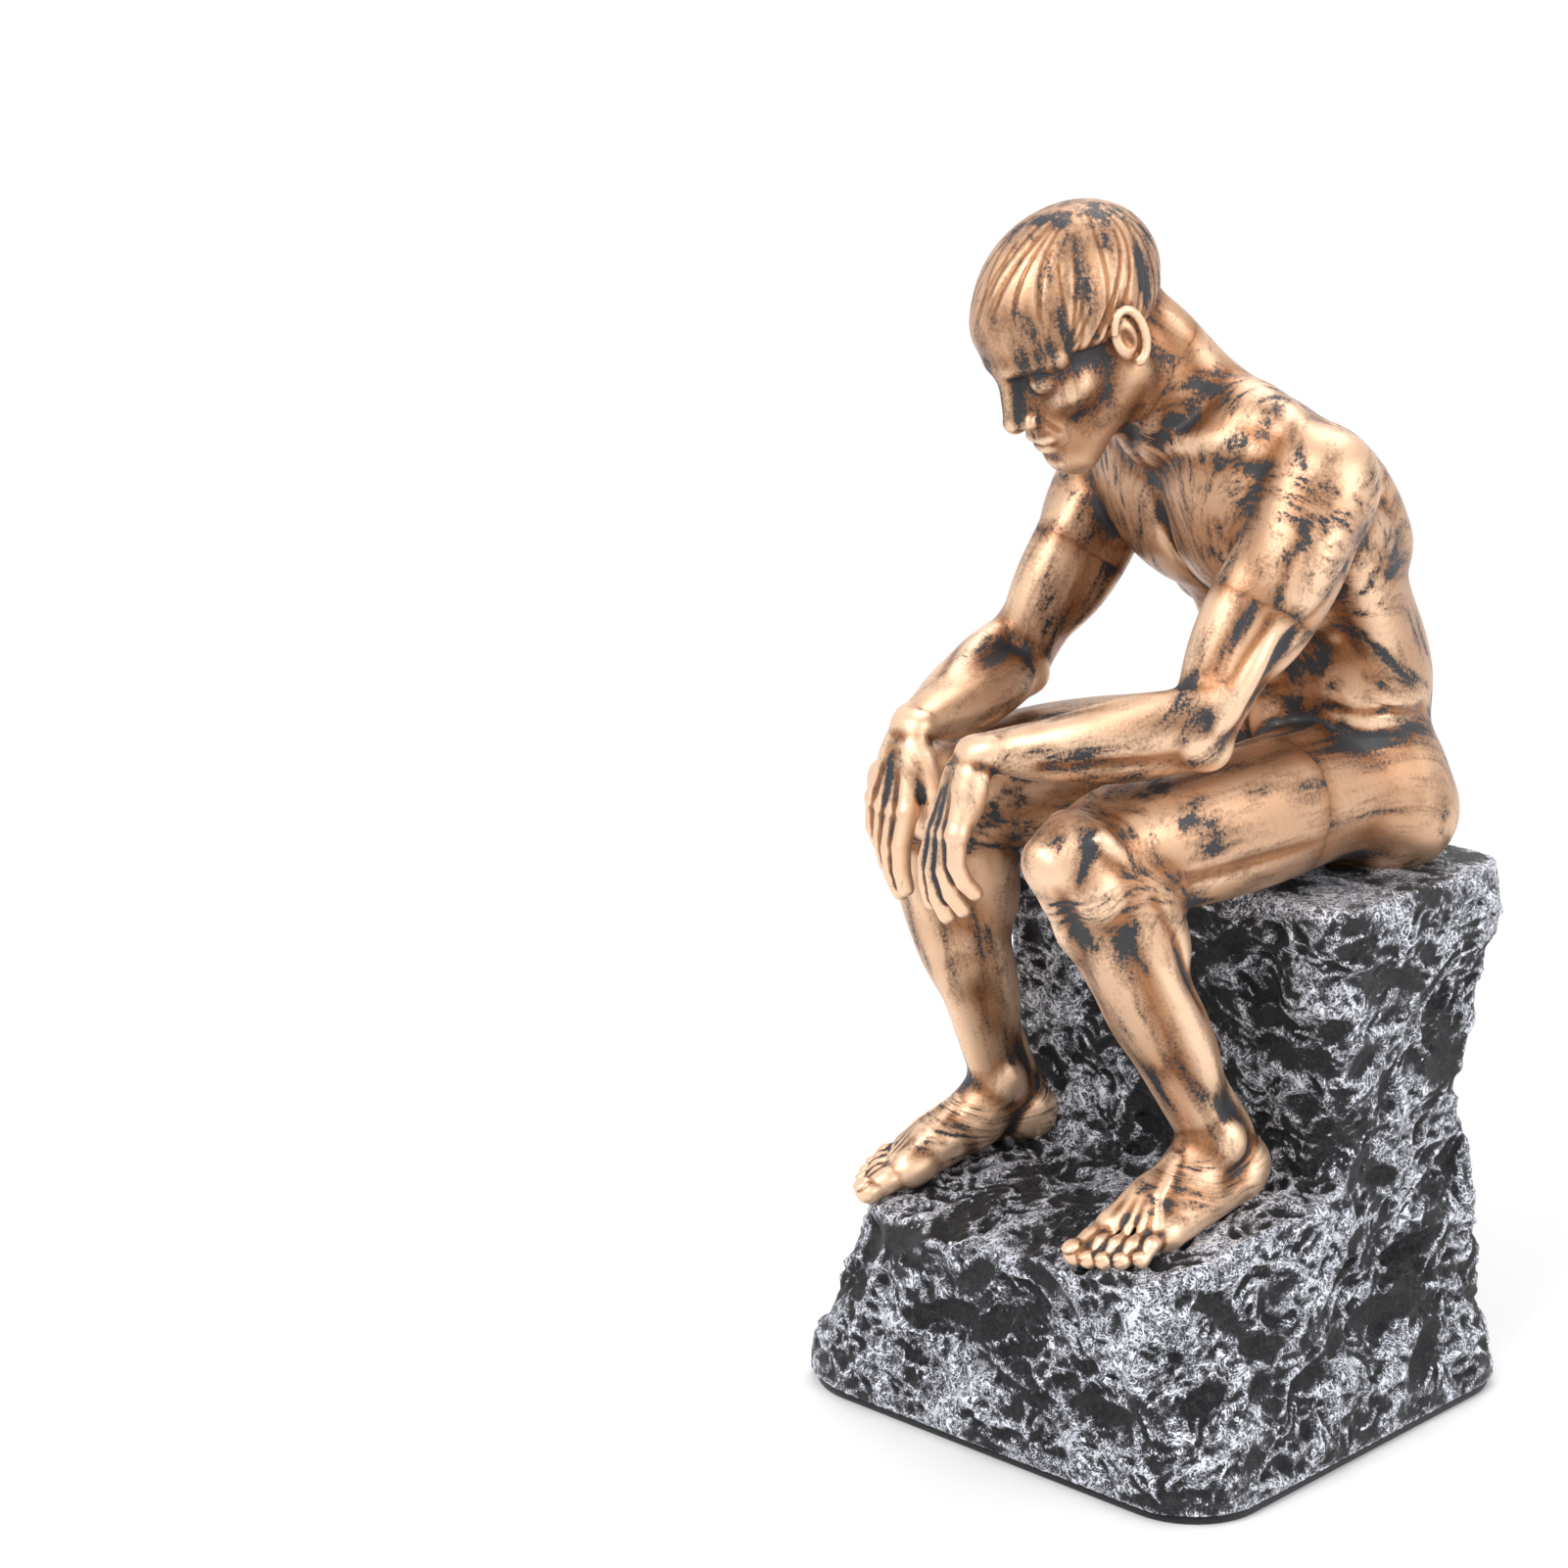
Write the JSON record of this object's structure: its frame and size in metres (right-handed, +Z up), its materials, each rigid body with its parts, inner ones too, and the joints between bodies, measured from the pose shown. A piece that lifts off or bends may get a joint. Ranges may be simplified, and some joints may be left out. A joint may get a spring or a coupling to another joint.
{
  "type": "seated figure statuette",
  "caption": "Free-standing desk ornament: a pensive seated figure in brushed copper-bronze finish on a black rock picked out in silver, assembled from pinned resin castings.",
  "frame": {"origin": "centre of the underside of the felt, on the surface it stands on", "axes": "+Z up, the figure faces -Y, +X is the figure's left"},
  "size_m": [0.1322, 0.1317, 0.2476],
  "materials": {
    "copper_bronze_resin": "cast resin, copper-bronze metallic paint dry-brushed over black",
    "silvered_rock_resin": "cast resin, charcoal black with silver dry-brushed on the ridges",
    "black_felt": "pressed felt",
    "steel_pin": "plain drawn rod"
  },
  "bodies": {
    "root": {"torso": "copper_bronze_resin", "head": "copper_bronze_resin", "left_arm": "copper_bronze_resin", "right_arm": "copper_bronze_resin", "left_leg": "copper_bronze_resin", "right_leg": "copper_bronze_resin", "rock_base": "silvered_rock_resin", "felt_pad": "black_felt", "left_hip_pin": "steel_pin", "left_arm_pin": "steel_pin", "left_seat_dowel": "steel_pin", "left_foot_pin": "steel_pin", "right_hip_pin": "steel_pin", "right_arm_pin": "steel_pin", "right_seat_dowel": "steel_pin", "right_foot_pin": "steel_pin", "neck_pin": "steel_pin"}
  },
  "joints": []
}
